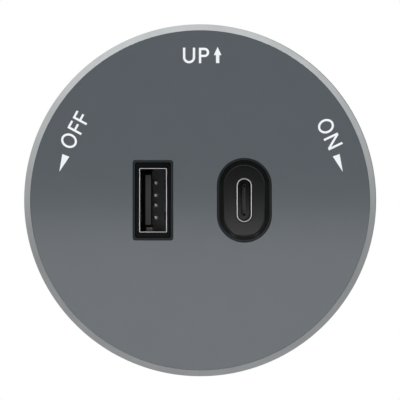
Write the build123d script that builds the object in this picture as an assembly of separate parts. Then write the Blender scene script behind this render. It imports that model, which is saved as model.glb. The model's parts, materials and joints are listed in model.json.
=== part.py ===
from build123d import *
import math
import os

# A round USB adapter that twists into a power track, with two outlets in its face.
# The face looks towards -Y with UP towards +Z, and the adapter turns about the Y axis.
# Y = 0 is the face of the track that it sits against. Sizes are in millimetres.
# As drawn it stands at OFF: the twist head lies in line with the slot, which runs along X.

# Track that it fits
slot_width = 12.5
track_lip = 3.0

# Gaps between pieces
push_gap = 0.05
turn_gap = 0.08
slip_gap = 0.1
screw_gap = 0.02

# Body
body_diameter = 71.0
body_depth = 34.0
body_wall = 2.2
front_wall = 2.0
spigot_wall = 1.85

# Trim ring
ring_bevel = 1.25
ring_depth = 7.0
ring_wall = 2.4
groove_size = 0.5
shoulder_wall = 2.0

# Faceplate
face_thickness = 1.6
face_gap = 0.06

# Outlets, seen from the front
port_a_x = -9.5
port_c_x = 8.9
mouth_sink = 1.8
receptacle_length = 13.0

# Outlet bezels
bezel_a_width = 8.05
bezel_a_height = 16.05
bezel_a_corner = 0.5
bezel_c_width = 11.1
bezel_c_height = 17.1
bezel_rim = 0.4
bezel_sink = 0.05
bezel_flange = 0.8
bezel_floor = 1.0
well_a_taper = 0.15
well_c_taper = 1.05

# Sheet metal of the two receptacles
shell_wall = 0.3
tab_width = 1.6
tab_length = 2.2
port_hole_gap = 0.4

# USB-A receptacle
shell_a_width = 5.7
shell_a_height = 13.1
shell_a_corner = 0.45
tongue_a_thickness = 1.84
tongue_a_height = 11.1
tongue_a_shift = -0.98
tongue_a_sink = 1.2
tongue_a_lead = 0.32
base_a_depth = 3.6
contact_a_places = (-3.5, -1.0, 1.0, 3.5)
contact_a_width = 0.7
contact_a_thickness = 0.2
contact_a_crest = 1.01
contact_a_roll = 0.35
contact_a_sink = 0.9
finger_width = 1.7
finger_length = 4.4
finger_bend = 0.25
finger_slit = 0.3
finger_sink = 2.2
finger_a_spread = 6.4

# USB-C receptacle
shell_c_width = 3.16
shell_c_height = 8.94
tongue_c_thickness = 0.7
tongue_c_height = 6.69
tongue_c_corner = 0.28
tongue_c_sink = 0.7
base_c_depth = 5.5
contact_c_count = 12
contact_c_pitch = 0.5
contact_c_width = 0.26
contact_c_rise = 0.05
contact_c_length = 3.4
contact_c_sink = 0.5
mid_plate_thickness = 0.2
mid_plate_height = 5.0
mid_plate_length = 9.0

# Rear cover
cover_stand_off = 0.6
cover_thickness = 2.4
cover_chamfer = 0.8
rim_height = 1.5
rim_wall = 1.8
pocket_gap = 0.3
pocket_wall = 2.8
pocket_side_wall = 2.2

# Columns and screws that hold the cover
column_angles = (35.0, 145.0, 270.0)
column_radius = 3.0
column_cover = 0.55
column_web = 2.4
column_gap = 0.4
cover_screw_radius = 1.25
cover_screw_length = 10.0
cover_screw_head = 2.3
screw_hole_gap = 0.25

# Guide that stays in the slot while the body turns
guide_radius = 20.6
guide_thickness = 2.4
guide_sink = 0.1
seat_ring_inner = 17.0
key_gap = 0.1
key_inner = 11.2
key_outer = 15.6
key_tip_gap = 0.4
twist_angle = 90.0
stop_circle = 13.0
stop_radius = 1.3
stop_height = 1.3
stop_end_gap = 0.1
stop_floor_gap = 0.2

# Spindle
square_width = 12.0
journal_radius = 8.6
flange_radius = 10.6
flange_thickness = 1.2
counterbore_depth = 1.4
counterbore_gap = 0.2
thread_radius = 5.9
thread_tail = 0.6
nut_width = 17.0
nut_thickness = 3.0
washer_radius = 8.4
washer_thickness = 0.6

# Twist head
head_side_gap = 0.35
head_radius = 14.0
head_lip_gap = 0.4
head_depth = 6.0
head_floor = 1.6
head_chamfer = 0.4
cap_thickness = 1.6
cap_screw_x = 8.0
cap_screw_z = 4.3
cap_screw_radius = 0.75
cap_screw_head = 1.35
cap_screw_length = 5.0

# Live and neutral contacts in the head
blade_width = 5.4
blade_thickness = 3.3
blade_length = 4.4
nose_width = 3.8
nose_reach = 1.2
pocket_inner = 3.6
pocket_end_wall = 2.3
blade_bore_radius = 1.45
blade_bore_depth = 3.0
contact_spring_radius = 1.1
contact_spring_turns = 4

# Conductors through the spindle
strip_width = 3.6
strip_thickness = 0.8
strip_inset = 3.7
strip_foot = 9.5
channel_gap = 0.1
board_poke = 1.0

# Earth contact in the middle of the head
earth_bore_radius = 2.3
earth_bore_floor = 1.6
earth_pin_radius = 1.5
earth_collar_radius = 2.1
earth_collar_thickness = 0.8
earth_pin_reach = 1.6
earth_pin_lead = 0.6
earth_terminal_thickness = 1.0
earth_shank_radius = 0.9
earth_spring_radius = 1.7
earth_spring_turns = 4
spring_wire = 0.4
spring_steps = 8

# Power board
board_edge_gap = 2.3
board_gap = 1.2
power_board_thickness = 1.6
post_inset = 3.6
post_angles = (72.0, 212.0, 328.0)
post_radius = 2.5
board_screw_radius = 1.0
board_screw_head = 1.9
board_screw_head_height = 1.2
board_screw_length = 6.0

# Port board
port_board_width = 44.0
port_board_height = 23.0
port_board_thickness = 1.2
port_post_inset = 3.4
port_post_radius = 2.4

# Components on the power board
core_width = 13.2
core_height = 6.2
core_front_gap = 3.5
core_limb = 2.0
core_lift = 1.5
transformer_z = 18.6
coil_side_gap = 0.4
coil_height = 11.2
coil_flange = 0.8
bulk_radius = 4.0
bulk_front_gap = 4.9
bulk_x = 12.9
bulk_z = 17.2
output_radius = 3.15
output_depth = 8.0
output_gap = 0.85
output_z = 3.7
filter_width = 13.0
filter_height = 5.0
filter_depth = 11.0
filter_x = -10.0
filter_z = -18.0
choke_width = 10.4
choke_height = 3.4
choke_depth = 9.0
choke_limb = 2.4
choke_x = 6.2
choke_z = -18.0
choke_coil_radius = 2.6
fuse_width = 8.4
fuse_height = 4.0
fuse_depth = 7.6
fuse_x = 9.5
fuse_z = -24.2
suppressor_radius = 3.4
suppressor_thickness = 2.6
suppressor_x = 16.2
suppressor_z = -15.8
bridge_width = 4.0
bridge_height = 6.6
bridge_depth = 2.5
bridge_inset = 5.0
chip_width = 3.9
chip_height = 4.9
chip_depth = 1.5
chip_places = ((-17.5, 4.5), (-2.0, -5.0), (13.5, -5.5))
header_pins_count = 5
header_pitch = 2.54
header_width = 2.5
header_pin = 0.64
header_z = -9.2
header_x = 0.0

# Places along the twist axis, from the face to the tip of the head
front = -body_depth
ledge = front + face_thickness
wall_back = ledge + front_wall
ring_back = front + ring_depth
mouth = front + mouth_sink
bezel_back = mouth + bezel_floor
cover_back = -cover_stand_off
cover_front = cover_back - cover_thickness
guide_back = cover_back - guide_sink
guide_front = guide_back - guide_thickness
pocket_floor = guide_front - slip_gap
boss_front = pocket_floor - pocket_wall
counterbore_floor = guide_back - counterbore_depth
flange_front = counterbore_floor + slip_gap
flange_back = flange_front + flange_thickness
washer_front = boss_front - washer_thickness
nut_front = washer_front - nut_thickness
spindle_front = nut_front - thread_tail
power_board_back = spindle_front - board_gap
power_board_front = power_board_back - power_board_thickness
port_board_front = mouth + receptacle_length
port_board_back = port_board_front + port_board_thickness
core_back = power_board_front - core_lift
core_front = wall_back + core_front_gap
head_front = track_lip + head_lip_gap
head_back = head_front + head_depth
cap_back = head_back + cap_thickness
strip_floor = head_front + head_floor
blade_front = strip_floor + strip_thickness + slip_gap
blade_back = blade_front + blade_thickness
strip_end = power_board_front - board_poke
earth_bore_back = head_front - earth_bore_floor
earth_terminal_back = earth_bore_back + earth_terminal_thickness
earth_collar_back = head_back - screw_gap
earth_collar_front = earth_collar_back - earth_collar_thickness

# Radii and widths that follow from the sizes above
body_radius = body_diameter / 2
ring_bore_radius = body_radius - ring_bevel
face_radius = ring_bore_radius - face_gap
spigot_bore_radius = body_radius - ring_wall
spigot_radius = spigot_bore_radius - push_gap
cavity_radius = body_radius - body_wall
front_cavity_radius = spigot_radius - spigot_wall
rim_radius = cavity_radius - push_gap
column_circle = spigot_radius - column_radius - column_cover
power_board_radius = cavity_radius - board_edge_gap
post_circle = power_board_radius - post_inset
bridge_x = bridge_inset - power_board_radius
port_post_x = port_board_width / 2 - port_post_inset
output_x = port_board_width / 2 + output_gap + output_radius
pocket_radius = guide_radius + pocket_gap
boss_radius = pocket_radius + pocket_side_wall
head_width = slot_width - 2 * head_side_gap
key_width = slot_width - 2 * key_gap
pocket_outer = head_radius - pocket_end_wall
blade_outer = pocket_outer - screw_gap
blade_inner = blade_outer - blade_length
nose_tip = head_radius + nose_reach
column_places = [
    (column_circle * math.cos(math.radians(a)), column_circle * math.sin(math.radians(a)), a)
    for a in column_angles
]
post_places = [
    (post_circle * math.cos(math.radians(a)), post_circle * math.sin(math.radians(a)))
    for a in post_angles
]


def slab(outline, start, end):
    """Fills an outline, drawn as seen from the front, between two places along the axis."""
    back = max(start, end)
    return extrude(Plane.XZ.offset(-back) * outline, abs(end - start))


def block(width, height, start, end, x=0.0, z=0.0):
    """A rectangular block around x, z."""
    return slab(Pos(x, z) * Rectangle(width, height), start, end)


def bar(radius, start, end, x=0.0, z=0.0):
    """A round bar along the axis around x, z."""
    return slab(Pos(x, z) * Circle(radius), start, end)


def turned(*corners):
    """A solid turned about the twist axis from its corners, each a radius and a place."""
    return revolve(make_face(Polyline(*corners, close=True)), Axis.Y)


def group(solids):
    """Separate solids that share one node."""
    return Compound(children=[solid for piece in solids for solid in piece.solids()])


def upright_slot(width, height):
    """An outline with half round ends above and below."""
    return SlotOverall(height, width, rotation=90)


def six_sided(radius, start, end, x, z):
    """A six sided bar along the axis, which just fits in a round hole of the same radius."""
    return slab(Pos(x, z) * RegularPolygon(radius, 6), start, end)


def board_screw(x, z, seat, toward):
    """A six sided screw whose shank leaves its seat towards +Y or -Y, as toward says."""
    head = six_sided(board_screw_head, seat, seat - toward * board_screw_head_height, x, z)
    shank = six_sided(board_screw_radius - screw_gap, seat, seat + toward * board_screw_length, x, z)
    return head + shank


def flat_screw(x, z, face, radius, length, head):
    """A screw driven from behind, with its sloped head flush with the face around it."""
    neck = face - (head - radius)
    slope = Pos(x, 0, z) * turned((0, face), (head, face), (radius, neck), (0, neck))
    return slope + six_sided(radius, neck, face - length, x, z)


def flat_screw_hole(x, z, face, depth, radius, head):
    """The hole of a flat screw through a plate, with the sloped seat of its head."""
    return Pos(x, 0, z) * turned(
        (0, face),
        (head, face),
        (radius, face - (head - radius)),
        (radius, face - depth),
        (0, face - depth),
    )


def make_faceplate():
    return bar(face_radius, ledge, front) - bezel_a_hole(ledge, front) - bezel_c_hole(ledge, front)


def bezel_a_outline(grow=0.0):
    outline = RectangleRounded(
        bezel_a_width + 2 * grow, bezel_a_height + 2 * grow, bezel_a_corner + max(grow, 0.0)
    )
    return Pos(port_a_x, 0) * outline


def bezel_c_outline(grow=0.0):
    return Pos(port_c_x, 0) * upright_slot(bezel_c_width + 2 * grow, bezel_c_height + 2 * grow)


def bezel_a_hole(start, end):
    return slab(bezel_a_outline(push_gap), start, end)


def bezel_c_hole(start, end):
    return slab(bezel_c_outline(push_gap), start, end)


def make_trim_ring():
    return turned(
        (ring_bore_radius, front),
        (body_radius, front + ring_bevel),
        (body_radius, ring_back),
        (spigot_bore_radius, ring_back),
        (spigot_bore_radius, ledge),
        (ring_bore_radius, ledge),
    )


def make_body_shell():
    shell = turned(
        (0, ledge),
        (spigot_radius, ledge),
        (spigot_radius, ring_back),
        (body_radius - groove_size, ring_back),
        (body_radius, ring_back + groove_size),
        (body_radius, cover_front),
        (cavity_radius, cover_front),
        (cavity_radius, ring_back + shoulder_wall),
        (front_cavity_radius, ring_back + shoulder_wall),
        (front_cavity_radius, wall_back),
        (0, wall_back),
    )
    web_length = cavity_radius + body_wall / 2 - column_circle
    for x, z, angle in column_places:
        shell += bar(column_radius, cover_front, wall_back, x, z)
        web = Rot(0, 0, angle) * Pos(column_circle + web_length / 2, 0) * Rectangle(web_length, column_web)
        shell += slab(web, cover_front, ring_back + shoulder_wall)
        shell -= bar(cover_screw_radius, cover_front, cover_front - cover_screw_length, x, z)
    for side in (-1, 1):
        shell += bar(port_post_radius, port_board_front, wall_back, side * port_post_x)
        shell -= bar(board_screw_radius, port_board_front, wall_back, side * port_post_x)
    shell -= slab(bezel_a_outline(bezel_flange + push_gap), bezel_back, ledge)
    shell -= slab(bezel_c_outline(bezel_flange + push_gap), bezel_back, ledge)
    shell -= block(
        shell_a_width + 2 * port_hole_gap, shell_a_height + 2 * port_hole_gap, wall_back, ledge, port_a_x
    )
    return shell - slab(shell_c_outline(port_hole_gap), wall_back, ledge)


def shell_a_outline(grow=0.0):
    outline = RectangleRounded(
        shell_a_width + 2 * grow, shell_a_height + 2 * grow, shell_a_corner + min(grow, 0.0) / 2
    )
    return Pos(port_a_x, 0) * outline


def shell_c_outline(grow=0.0):
    return Pos(port_c_x, 0) * upright_slot(shell_c_width + 2 * grow, shell_c_height + 2 * grow)


def well(outline, top_grow, floor_grow):
    """The sloped recess of a bezel, from its rim down to the floor around the mouth."""
    top = Plane.XZ.offset(-(front + bezel_sink)) * outline(top_grow)
    floor = Plane.XZ.offset(-mouth) * outline(floor_grow)
    return loft([top.face(), floor.face()])


def make_usb_a_bezel():
    bezel = slab(bezel_a_outline(), ledge, front + bezel_sink)
    bezel += slab(bezel_a_outline(bezel_flange), bezel_back, ledge)
    bezel -= well(bezel_a_outline, -bezel_rim, -bezel_rim - well_a_taper)
    return bezel - slab(shell_a_outline(push_gap), bezel_back, mouth)


def make_usb_c_bezel():
    bezel = slab(bezel_c_outline(), ledge, front + bezel_sink)
    bezel += slab(bezel_c_outline(bezel_flange), bezel_back, ledge)
    bezel -= well(bezel_c_outline, -bezel_rim, -bezel_rim - well_c_taper)
    return bezel - slab(shell_c_outline(push_gap), bezel_back, mouth)


def make_usb_a_shell():
    """The folded metal shell, with a sprung finger pressed in from each of six windows."""
    shell = slab(shell_a_outline(), port_board_front, mouth)
    shell -= slab(shell_a_outline(-shell_wall), port_board_front, mouth)
    window_front = mouth + finger_sink
    window_back = window_front + finger_length
    window_width = finger_width + 2 * finger_slit
    half_width = shell_a_width / 2
    half_height = shell_a_height / 2
    for side in (-1, 1):
        wall_x = port_a_x + side * (half_width - shell_wall / 2)
        for z in (-finger_a_spread / 2, finger_a_spread / 2):
            shell -= block(2 * shell_wall, window_width, window_back, window_front, wall_x, z)
            shell += finger(port_a_x + side * half_width, -side, window_front, window_back, z)
    tabs = [
        block(shell_wall, tab_width, port_board_front + tab_length, port_board_front, x, z)
        for x in (port_a_x - half_width + shell_wall / 2, port_a_x + half_width - shell_wall / 2)
        for z in (-half_height / 2, half_height / 2)
    ]
    return shell + tabs


def finger(outer_x, inward, window_front, window_back, z):
    """A sprung finger that leans into the receptacle from the back of its window."""
    tip = window_front + finger_slit
    lean = inward * finger_bend
    skin = inward * shell_wall
    profile = Polyline(
        (outer_x, window_back),
        (outer_x + lean, tip),
        (outer_x + lean + skin, tip),
        (outer_x + skin, window_back),
        close=True,
    )
    return extrude(Plane.XY.offset(z - finger_width / 2) * make_face(profile), finger_width)


def make_usb_a_insulator():
    base_front = port_board_front - base_a_depth
    tip = mouth + tongue_a_sink
    tongue_x = port_a_x + tongue_a_shift
    inner = shell_a_outline(-shell_wall - push_gap)
    tongue = block(tongue_a_thickness, tongue_a_height, base_front, tip, tongue_x)
    tongue = chamfer(tongue.faces().sort_by(Axis.Y)[0].edges(), tongue_a_lead)
    return slab(inner, port_board_front, base_front) + tongue


def make_usb_a_contacts():
    """Four sprung strips side by side on the tongue, each with its free end rolled over."""
    face_x = port_a_x + tongue_a_shift + tongue_a_thickness / 2
    root_x = face_x + push_gap + contact_a_thickness / 2
    root_y = port_board_front - base_a_depth - push_gap
    roll_x = face_x + contact_a_crest - contact_a_roll
    roll_y = mouth + tongue_a_sink + contact_a_sink + contact_a_roll
    roll_radius = contact_a_roll - contact_a_thickness / 2
    roll = CenterArc((roll_x, roll_y), roll_radius, 0, -180)
    profile = trace([Line((root_x, root_y), roll @ 0), roll], contact_a_thickness)
    return group(
        extrude(Plane.XY.offset(z - contact_a_width / 2) * profile, contact_a_width)
        for z in contact_a_places
    )


def make_usb_c_shell():
    shell = slab(shell_c_outline(), port_board_front, mouth)
    shell -= slab(shell_c_outline(-shell_wall), port_board_front, mouth)
    reach = (shell_c_width - shell_wall) / 2
    tabs = [
        block(shell_wall, tab_width, port_board_front + tab_length, port_board_front, port_c_x + side * reach)
        for side in (-1, 1)
    ]
    return shell + tabs


def make_usb_c_insulator():
    base_front = port_board_front - base_c_depth
    tip = mouth + tongue_c_sink
    base = slab(shell_c_outline(-shell_wall - push_gap), port_board_front, base_front)
    tongue = Pos(port_c_x, 0) * RectangleRounded(tongue_c_thickness, tongue_c_height, tongue_c_corner)
    return base + slab(tongue, base_front, tip) - make_usb_c_mid_plate()


def make_usb_c_mid_plate():
    """The steel plate in the middle of the tongue, flush with its tip."""
    tip = mouth + tongue_c_sink
    return block(mid_plate_thickness, mid_plate_height, tip, tip + mid_plate_length, port_c_x)


def make_usb_c_contacts():
    """Two rows of flat contacts, one on each side of the tongue."""
    start = mouth + tongue_c_sink + contact_c_sink
    reach = (tongue_c_thickness + contact_c_rise) / 2
    half_row = (contact_c_count - 1) / 2
    return group(
        block(
            contact_c_rise,
            contact_c_width,
            start,
            start + contact_c_length,
            port_c_x + side * reach,
            (number - half_row) * contact_c_pitch,
        )
        for side in (-1, 1)
        for number in range(contact_c_count)
    )


def make_port_board():
    board = slab(
        RectangleRounded(port_board_width, port_board_height, port_post_radius),
        port_board_back,
        port_board_front,
    )
    for x in (-port_post_x, port_post_x):
        board -= bar(board_screw_radius + screw_hole_gap, port_board_back, port_board_front, x)
    for solid in (make_usb_a_shell(), make_usb_c_shell(), make_header_pins()):
        board -= tab_holes(solid, port_board_back, port_board_front)
    return board


def tab_holes(solid, start, end):
    """Clearance holes through a board for whatever passes through it."""
    middle = (start + end) / 2
    cuts = section(solid, section_by=Plane.XZ.offset(-middle))
    holes = [offset(cut, push_gap, kind=Kind.INTERSECTION) for cut in cuts.faces()]
    depth = abs(start - end)
    return [extrude(Pos(0, depth / 2, 0) * hole, depth, dir=(0, -1, 0)) for hole in holes]


def make_port_board_screws():
    return group(
        board_screw(side * port_post_x, 0, port_board_back, -1) for side in (-1, 1)
    )


def make_power_board():
    board = bar(power_board_radius, power_board_back, power_board_front)
    for x, z, _ in column_places:
        board -= bar(column_radius + column_gap, power_board_back, power_board_front, x, z)
    for x, z in post_places:
        board -= bar(board_screw_radius + screw_hole_gap, power_board_back, power_board_front, x, z)
    for solid in (make_live_strip(), make_neutral_strip(), make_earth_terminal(), make_header_pins()):
        board -= tab_holes(solid, power_board_back, power_board_front)
    return board


def make_power_board_screws():
    return group(
        board_screw(x, z, power_board_front, 1) for x, z in post_places
    )


def header_pin_places():
    half_row = (header_pins_count - 1) / 2
    return [header_x + (number - half_row) * header_pitch for number in range(header_pins_count)]


def make_header_block():
    length = header_pins_count * header_pitch
    solid = block(length, header_width, power_board_front, port_board_back, header_x, header_z)
    for x in header_pin_places():
        hole = header_pin + 2 * push_gap
        solid -= block(hole, hole, power_board_front, port_board_back, x, header_z)
    return solid


def make_header_pins():
    start = power_board_back + board_poke
    end = port_board_front - board_poke
    return group(block(header_pin, header_pin, start, end, x, header_z) for x in header_pin_places())


def make_transformer_core():
    """A closed frame with a middle limb, standing on the board on its bobbin."""
    core = block(core_width, core_height, core_back, core_front, 0, transformer_z)
    window = (core_width - 4 * core_limb) / 2
    for side in (-1, 1):
        x = side * (core_limb + window / 2)
        core -= block(window, core_height, core_back - core_limb, core_front + core_limb, x, transformer_z)
    return core


def make_transformer_bobbin():
    start = core_back - core_limb - push_gap
    end = core_front + core_limb + push_gap
    inside = core_width - 2 * core_limb - 2 * push_gap
    hole_x = 2 * core_limb + 2 * push_gap
    hole_z = core_height + 2 * push_gap
    bobbin = block(hole_x + 2 * coil_flange, hole_z + 2 * coil_flange, start, end, 0, transformer_z)
    for place, toward in ((start, -1), (end, 1)):
        bobbin += block(inside, coil_height, place, place + toward * coil_flange, 0, transformer_z)
    for side in (-1, 1):
        foot_height = (coil_height - hole_z) / 2
        foot_z = transformer_z + side * (hole_z + foot_height) / 2
        bobbin += block(inside, foot_height, power_board_front, start, 0, foot_z)
    return bobbin - block(hole_x, hole_z, start, end, 0, transformer_z)


def make_transformer_coil():
    start = core_back - core_limb - push_gap - coil_flange
    end = core_front + core_limb + push_gap + coil_flange
    width = core_width - 2 * core_limb - 2 * coil_side_gap
    hole_x = 2 * core_limb + 2 * push_gap + 2 * coil_flange
    hole_z = core_height + 2 * push_gap + 2 * coil_flange
    outline = Rectangle(width, coil_height - 2 * coil_side_gap) - Rectangle(hole_x, hole_z)
    return slab(Pos(0, transformer_z) * outline, start, end)


def make_bulk_capacitors():
    end = wall_back + bulk_front_gap
    return group(bar(bulk_radius, power_board_front, end, x, bulk_z) for x in (-bulk_x, bulk_x))


def make_output_capacitors():
    end = power_board_front - output_depth
    return group(
        bar(output_radius, power_board_front, end, output_x, z) for z in (-output_z, output_z)
    )


def make_filter_capacitor():
    return block(
        filter_width, filter_height, power_board_front, power_board_front - filter_depth, filter_x, filter_z
    )


def make_choke_core():
    end = power_board_front - choke_depth
    core = block(choke_width, choke_height, power_board_front, end, choke_x, choke_z)
    window = block(
        choke_width - 2 * choke_limb,
        choke_height,
        power_board_front - choke_limb,
        end + choke_limb,
        choke_x,
        choke_z,
    )
    return core - window


def make_choke_coils():
    start = power_board_front - choke_limb - push_gap
    end = power_board_front - choke_depth + choke_limb + push_gap
    hole = (choke_limb + 2 * push_gap, choke_height + 2 * push_gap)
    reach = (choke_width - choke_limb) / 2
    return group(
        bar(choke_coil_radius, start, end, choke_x + side * reach, choke_z)
        - block(*hole, start, end, choke_x + side * reach, choke_z)
        for side in (-1, 1)
    )


def make_fuse():
    end = power_board_front - fuse_depth
    return block(fuse_width, fuse_height, power_board_front, end, fuse_x, fuse_z)


def make_suppressor():
    """A disc capacitor that stands on its rim."""
    disc = extrude(Plane.YZ * Circle(suppressor_radius), suppressor_thickness / 2, both=True)
    return Pos(suppressor_x, power_board_front - suppressor_radius, suppressor_z) * disc


def make_bridge_rectifier():
    return block(bridge_width, bridge_height, power_board_front, power_board_front - bridge_depth, bridge_x)


def make_chips():
    return group(
        block(chip_width, chip_height, power_board_front, power_board_front - chip_depth, x, z)
        for x, z in chip_places
    )


def make_rear_cover():
    cover = turned(
        (0, pocket_floor),
        (pocket_radius, pocket_floor),
        (pocket_radius, cover_back),
        (body_radius - cover_chamfer, cover_back),
        (body_radius, cover_back - cover_chamfer),
        (body_radius, cover_front),
        (rim_radius, cover_front),
        (rim_radius, cover_front - rim_height),
        (rim_radius - rim_wall, cover_front - rim_height),
        (rim_radius - rim_wall, cover_front),
        (boss_radius, cover_front),
        (boss_radius, boss_front),
        (0, boss_front),
    )
    cover -= block(square_width + 2 * push_gap, square_width + 2 * push_gap, pocket_floor, boss_front)
    for x, z, angle in column_places:
        cover -= bar(column_radius + column_gap, cover_front, boss_front, x, z)
        web_gap = Rectangle(2 * column_radius, column_web + 2 * column_gap)
        notch = Rot(0, 0, angle) * Pos(rim_radius, 0) * web_gap
        cover -= slab(notch, cover_front, cover_front - rim_height)
        cover -= flat_screw_hole(
            x,
            z,
            cover_back,
            cover_thickness,
            cover_screw_radius + screw_hole_gap,
            cover_screw_head + screw_gap,
        )
    for x, z in post_places:
        cover += bar(post_radius, cover_front, power_board_back, x, z)
        cover -= bar(board_screw_radius, power_board_back, power_board_back + board_screw_length, x, z)
    for x, z in stop_places():
        cover += bar(stop_radius, pocket_floor, pocket_floor + stop_height, x, z)
    return cover


def stop_places():
    """Where the two stops of the cover stand at OFF, at one end of their grooves."""
    start = math.radians(90 + twist_angle / 2)
    return [
        (side * stop_circle * math.cos(start), side * stop_circle * math.sin(start)) for side in (1, -1)
    ]


def make_cover_screws():
    radius = cover_screw_radius - screw_gap
    return group(
        flat_screw(x, z, cover_back, radius, cover_screw_length, cover_screw_head)
        for x, z, _ in column_places
    )


def make_slot_guide():
    """The plate that stays in the slot: a seat ring, two keys and a groove for each stop."""
    bore = journal_radius + turn_gap
    guide = turned(
        (bore, guide_front),
        (guide_radius, guide_front),
        (guide_radius, 0),
        (seat_ring_inner, 0),
        (seat_ring_inner, guide_back),
        (flange_radius + counterbore_gap, guide_back),
        (flange_radius + counterbore_gap, counterbore_floor),
        (bore, counterbore_floor),
    )
    for side in (-1, 1):
        middle = side * (key_inner + key_outer) / 2
        guide += block(key_outer - key_inner, key_width, guide_back, track_lip - key_tip_gap, middle)
    extra = math.degrees(stop_end_gap / stop_circle)
    for start in (90 - twist_angle / 2, 270 - twist_angle / 2):
        path = CenterArc((0, 0), stop_circle, start - extra, twist_angle + 2 * extra)
        groove = SlotArc(path, 2 * stop_radius + 2 * slip_gap)
        guide -= slab(groove, guide_front, pocket_floor + stop_height + stop_floor_gap)
    return guide


def head_outline(grow=0.0):
    """The twist head as seen from the front: narrow enough for the slot, with turned ends."""
    return Circle(head_radius + grow) & Rectangle(2 * (head_radius + grow), head_width + 2 * grow)


def channel(side, start, end):
    """The passage of a live or neutral strip along the spindle."""
    x = side * (strip_inset + strip_thickness / 2)
    gap = 2 * channel_gap
    return block(strip_thickness + gap, strip_width + gap, start, end, x)


def make_spindle():
    spindle = bar(thread_radius, spindle_front, boss_front)
    spindle += block(square_width, square_width, boss_front, pocket_floor)
    spindle += bar(journal_radius, pocket_floor, flange_front)
    spindle += bar(flange_radius, flange_front, flange_back)
    spindle += bar(head_width / 2, flange_back, head_front)
    spindle += slab(head_outline(), head_front, head_back)
    for side in (-1, 1):
        pocket_x = side * (pocket_inner + pocket_outer) / 2
        window_x = side * (pocket_outer + head_radius) / 2
        spindle -= block(
            pocket_outer - pocket_inner, blade_width + 2 * slip_gap, strip_floor, head_back, pocket_x
        )
        spindle -= block(
            pocket_end_wall + nose_reach,
            nose_width + 2 * slip_gap,
            blade_front - slip_gap,
            head_back,
            window_x,
        )
        spindle -= channel(side, spindle_front, strip_floor)
        spindle -= bar(
            cap_screw_radius, head_back - cap_screw_length, head_back, side * cap_screw_x, side * cap_screw_z
        )
    spindle -= bar(earth_bore_radius, earth_bore_back, head_back)
    return spindle - bar(earth_shank_radius + channel_gap, spindle_front, earth_bore_back)


def make_head_cap():
    cap = slab(head_outline(), head_back, cap_back)
    cap = chamfer(cap.faces().sort_by(Axis.Y)[-1].edges(), head_chamfer)
    cap -= bar(earth_pin_radius + slip_gap, head_back, cap_back)
    for side in (-1, 1):
        cap -= flat_screw_hole(
            side * cap_screw_x,
            side * cap_screw_z,
            cap_back,
            cap_thickness,
            cap_screw_radius + screw_gap,
            cap_screw_head + screw_gap,
        )
    return cap


def make_head_cap_screws():
    radius = cap_screw_radius - screw_gap
    return group(
        flat_screw(side * cap_screw_x, side * cap_screw_z, cap_back, radius, cap_screw_length, cap_screw_head)
        for side in (-1, 1)
    )


def make_spindle_washer():
    return turned(
        (thread_radius + push_gap, washer_front),
        (washer_radius, washer_front),
        (washer_radius, boss_front),
        (thread_radius + push_gap, boss_front),
    )


def make_spindle_nut():
    outline = RegularPolygon(nut_width / 2, 6, major_radius=False) - Circle(thread_radius + push_gap)
    return slab(outline, nut_front, washer_front)


def strip(side):
    """A flat conductor, from a foot under its contact to a tab through the power board."""
    leg_x = side * (strip_inset + strip_thickness / 2)
    foot_x = side * (strip_inset + strip_foot) / 2
    leg = block(strip_thickness, strip_width, strip_end, strip_floor + strip_thickness, leg_x)
    foot = block(strip_foot - strip_inset, strip_width, strip_floor, strip_floor + strip_thickness, foot_x)
    return leg + foot


def make_live_strip():
    return strip(1)


def make_neutral_strip():
    return strip(-1)


def make_earth_terminal():
    head = bar(earth_collar_radius, earth_bore_back, earth_terminal_back)
    return head + bar(earth_shank_radius, strip_end, earth_bore_back)


def contact_blade(side):
    """A sliding contact with a round nose, drilled from behind for its spring."""
    straight = nose_tip - nose_width / 2
    outline = Pos((blade_inner + blade_outer) / 2, 0) * Rectangle(blade_length, blade_width)
    outline += Pos((blade_outer + straight) / 2, 0) * Rectangle(straight - blade_outer, nose_width)
    outline += Pos(straight, 0) * Circle(nose_width / 2)
    blade = slab(outline, blade_front, blade_back)
    mouth_plane = Plane((blade_inner, (blade_front + blade_back) / 2, 0), z_dir=(1, 0, 0))
    blade -= extrude(mouth_plane * Circle(blade_bore_radius), blade_bore_depth)
    return blade if side > 0 else mirror(blade, Plane.YZ)


def make_live_contact():
    return contact_blade(1)


def make_neutral_contact():
    return contact_blade(-1)


def make_earth_pin():
    """A pin with a sloped tip, and a collar that the cap holds in."""
    tip = cap_back + earth_pin_reach
    return turned(
        (0, earth_collar_front),
        (earth_collar_radius, earth_collar_front),
        (earth_collar_radius, earth_collar_back),
        (earth_pin_radius, earth_collar_back),
        (earth_pin_radius, tip - earth_pin_lead),
        (earth_pin_radius - earth_pin_lead, tip),
        (0, tip),
    )


def coil_spring(radius, length, turns):
    """A hidden wound spring that stands on the origin and rises along +Z in short straights."""
    rise = length - spring_wire
    steps = spring_steps * turns
    corners = [
        (
            radius * math.cos(math.tau * step / spring_steps),
            radius * math.sin(math.tau * step / spring_steps),
            rise * step / steps,
        )
        for step in range(steps + 1)
    ]
    path = Polyline(*corners)
    wire = Plane(path @ 0, z_dir=path % 0) * RegularPolygon(spring_wire / 2, 6)
    return Pos(0, 0, spring_wire / 2) * sweep(wire, path=path, transition=Transition.RIGHT)


def contact_spring(side):
    length = blade_inner + blade_bore_depth - pocket_inner
    spring = coil_spring(contact_spring_radius, length, contact_spring_turns)
    spring = Pos(pocket_inner, (blade_front + blade_back) / 2, 0) * Rot(0, 90, 0) * spring
    return spring if side > 0 else mirror(spring, Plane.YZ)


def make_live_spring():
    return contact_spring(1)


def make_neutral_spring():
    return contact_spring(-1)


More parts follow.
